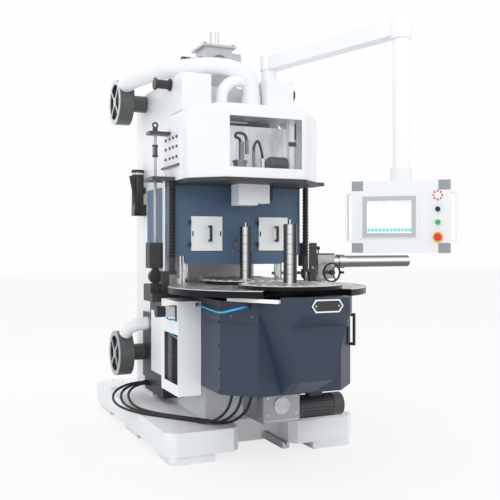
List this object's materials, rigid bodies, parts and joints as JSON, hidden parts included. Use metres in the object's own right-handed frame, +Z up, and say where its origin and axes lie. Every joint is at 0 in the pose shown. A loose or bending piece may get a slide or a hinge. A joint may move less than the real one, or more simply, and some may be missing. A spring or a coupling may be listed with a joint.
{
  "type": "spring end grinding machine",
  "caption": "Vertical spring end grinding machine with a lifting grinding head, indexing loading discs, dark blue lower housing, swinging operator panel, fume blowers and a dresser",
  "frame": {"origin": "centre of the four anchor holes in the base, at floor level", "axes": "+Z up, +X to the machine's right seen from its front, -Y towards the operator at the front"},
  "size_m": [2.1892, 2.7157, 2.806],
  "materials": {
    "frame_white": "satin machine enamel",
    "sheet_white": "satin powder coat on sheet",
    "housing_blue": "dark blue grey textured enamel",
    "plate_dark": "dark grey enamel",
    "bracket_grey": "grey enamel on cast brackets",
    "blower_grey": "grey enamel",
    "panel_grey": "light grey enamel",
    "dark_metal": "blackened steel",
    "cast_iron": "machined cast iron",
    "steel": "ground steel",
    "chrome": "hard chrome",
    "aluminium": "bare aluminium",
    "abrasive": "bonded abrasive, coarse and dull",
    "black_plastic": "black matt",
    "black_rubber": "black rubber",
    "tube_blue": "light blue tubing",
    "window_clear": "clear pane",
    "stop_red": "red moulded",
    "start_green": "green moulded"
  },
  "bodies": {
    "machine": {"base_casting": "frame_white", "column_frame": "frame_white", "lower_housing": "housing_blue", "front_cowl": "housing_blue", "housing_hardware": "dark_metal", "side_cabinet": "sheet_white", "access_plates": "sheet_white", "air_regulator": "black_plastic", "cable_box": "black_plastic", "guide_brackets": "bracket_grey", "guide_columns": "chrome", "bellows_left": "black_rubber", "bellows_right": "black_rubber", "balance_cylinders": "dark_metal", "wheel_guard": "steel", "index_drive": "aluminium", "base_rail": "aluminium", "fume_ducts": "sheet_white", "blower_housings": "blower_grey", "lift_jack": "frame_white", "jack_motor": "dark_metal", "lube_pump": "black_plastic", "lifting_trunnions": "dark_metal", "pendant_post": "sheet_white", "slide_rails": "steel", "spindle_block": "cast_iron", "dresser_body": "bracket_grey", "control_rack": "steel", "cable_a": "black_rubber", "cable_b": "black_rubber", "cable_c": "black_rubber", "air_tube": "tube_blue"},
    "head": {"head_slide": "cast_iron", "head_shell": "frame_white", "head_window": "window_clear", "head_base_plate": "plate_dark", "chamber_shroud": "housing_blue", "head_gearmotor": "frame_white", "head_brackets": "frame_white", "lift_screw": "chrome", "upper_spindle": "steel"},
    "upper_wheel": {"upper_wheel": "abrasive"},
    "lower_quill": {"lower_quill": "steel"},
    "lower_wheel": {"lower_wheel": "abrasive"},
    "turret": {"turret": "steel"},
    "disc_a": {"disc_a": "steel"},
    "disc_b": {"disc_b": "steel"},
    "door_left": {"door_left": "frame_white"},
    "door_right": {"door_right": "frame_white"},
    "pendant_arm": {"pendant_arm": "sheet_white"},
    "panel_box": {"panel_box": "panel_grey"},
    "e_stop": {"e_stop": "stop_red"},
    "start_button": {"start_button": "start_green"},
    "selector_knob": {"selector_knob": "black_plastic"},
    "lube_lever": {"lube_lever": "dark_metal"},
    "impeller_upper": {"impeller_upper": "dark_metal"},
    "impeller_lower": {"impeller_lower": "dark_metal"},
    "dresser_ram": {"dresser_ram": "steel"},
    "dresser_handwheel": {"dresser_handwheel": "black_plastic"},
    "rear_door": {"rear_door": "sheet_white"}
  },
  "joints": [
    {"name": "head_lift", "type": "slide", "parent": "machine", "child": "head", "axis": [0, 0, 1], "range_m": [-0.06, 0], "deforming": ["bellows_left", "bellows_right"]},
    {"name": "upper_wheel_spin", "type": "hinge", "parent": "head", "child": "upper_wheel", "pos_m": [0, -0.2, 1.25], "axis": [0, 0, 1], "continuous": true},
    {"name": "lower_wheel_lift", "type": "slide", "parent": "machine", "child": "lower_quill", "axis": [0, 0, 1], "range_m": [0, 0.04]},
    {"name": "lower_wheel_spin", "type": "hinge", "parent": "lower_quill", "child": "lower_wheel", "pos_m": [0, -0.2, 0.95], "axis": [0, 0, 1], "continuous": true},
    {"name": "turret_index", "type": "hinge", "parent": "machine", "child": "turret", "pos_m": [0, -0.94, 1], "axis": [0, 0, 1], "range_deg": [0, 180]},
    {"name": "disc_a_spin", "type": "hinge", "parent": "turret", "child": "disc_a", "pos_m": [0, -0.624, 1.04], "axis": [0, 0, 1], "continuous": true},
    {"name": "disc_b_spin", "type": "hinge", "parent": "turret", "child": "disc_b", "pos_m": [0, -1.256, 1.04], "axis": [0, 0, 1], "continuous": true},
    {"name": "door_left_hinge", "type": "hinge", "parent": "head", "child": "door_left", "pos_m": [-0.349, -0.535, 1.359], "axis": [0, 0, -1], "range_deg": [0, 100]},
    {"name": "door_right_hinge", "type": "hinge", "parent": "head", "child": "door_right", "pos_m": [0.128, -0.535, 1.359], "axis": [0, 0, -1], "range_deg": [0, 100]},
    {"name": "pendant_swing", "type": "hinge", "parent": "machine", "child": "pendant_arm", "pos_m": [0.265, -0.42, 2.525], "axis": [0, 0, 1], "range_deg": [-15, 70]},
    {"name": "panel_swivel", "type": "hinge", "parent": "pendant_arm", "child": "panel_box", "pos_m": [0.57291, -1.52282, 1.7], "axis": [0, 0, 1], "range_deg": [-60, 60]},
    {"name": "e_stop_push", "type": "slide", "parent": "panel_box", "child": "e_stop", "axis": [0.6428, 0.766, 0], "range_m": [0, 0.006]},
    {"name": "start_button_push", "type": "slide", "parent": "panel_box", "child": "start_button", "axis": [0.6428, 0.766, 0], "range_m": [0, 0.004], "stiffness_N_per_m": 400, "springref_m": -0.003},
    {"name": "selector_turn", "type": "hinge", "parent": "panel_box", "child": "selector_knob", "pos_m": [0.69139, -1.70056, 1.4848], "axis": [0.6428, 0.766, 0], "range_deg": [-45, 45]},
    {"name": "lube_lever_swing", "type": "hinge", "parent": "machine", "child": "lube_lever", "pos_m": [-0.47, 0.266, 1.53], "axis": [0, -1, 0], "range_deg": [0, 40]},
    {"name": "impeller_upper_spin", "type": "hinge", "parent": "machine", "child": "impeller_upper", "pos_m": [-0.58, 0.31, 2.323], "axis": [1, 0, 0], "continuous": true},
    {"name": "impeller_lower_spin", "type": "hinge", "parent": "machine", "child": "impeller_lower", "pos_m": [-0.58, 0.31, 0.499], "axis": [1, 0, 0], "continuous": true},
    {"name": "dresser_feed", "type": "slide", "parent": "machine", "child": "dresser_ram", "axis": [-1, 0, 0], "range_m": [0, 0.14]},
    {"name": "dresser_handwheel_turn", "type": "hinge", "parent": "machine", "child": "dresser_handwheel", "pos_m": [0.736, -0.462, 1.091], "axis": [0, 1, 0], "range_deg": [0, 360]},
    {"name": "rear_door_hinge", "type": "hinge", "parent": "machine", "child": "rear_door", "pos_m": [-0.345, 0.562, 1.185], "axis": [0, 0, 1], "range_deg": [0, 110]}
  ],
  "couplings": [
    {"joint": "dresser_handwheel_turn", "follows": "dresser_feed", "rad_per_m": 44.87}
  ]
}
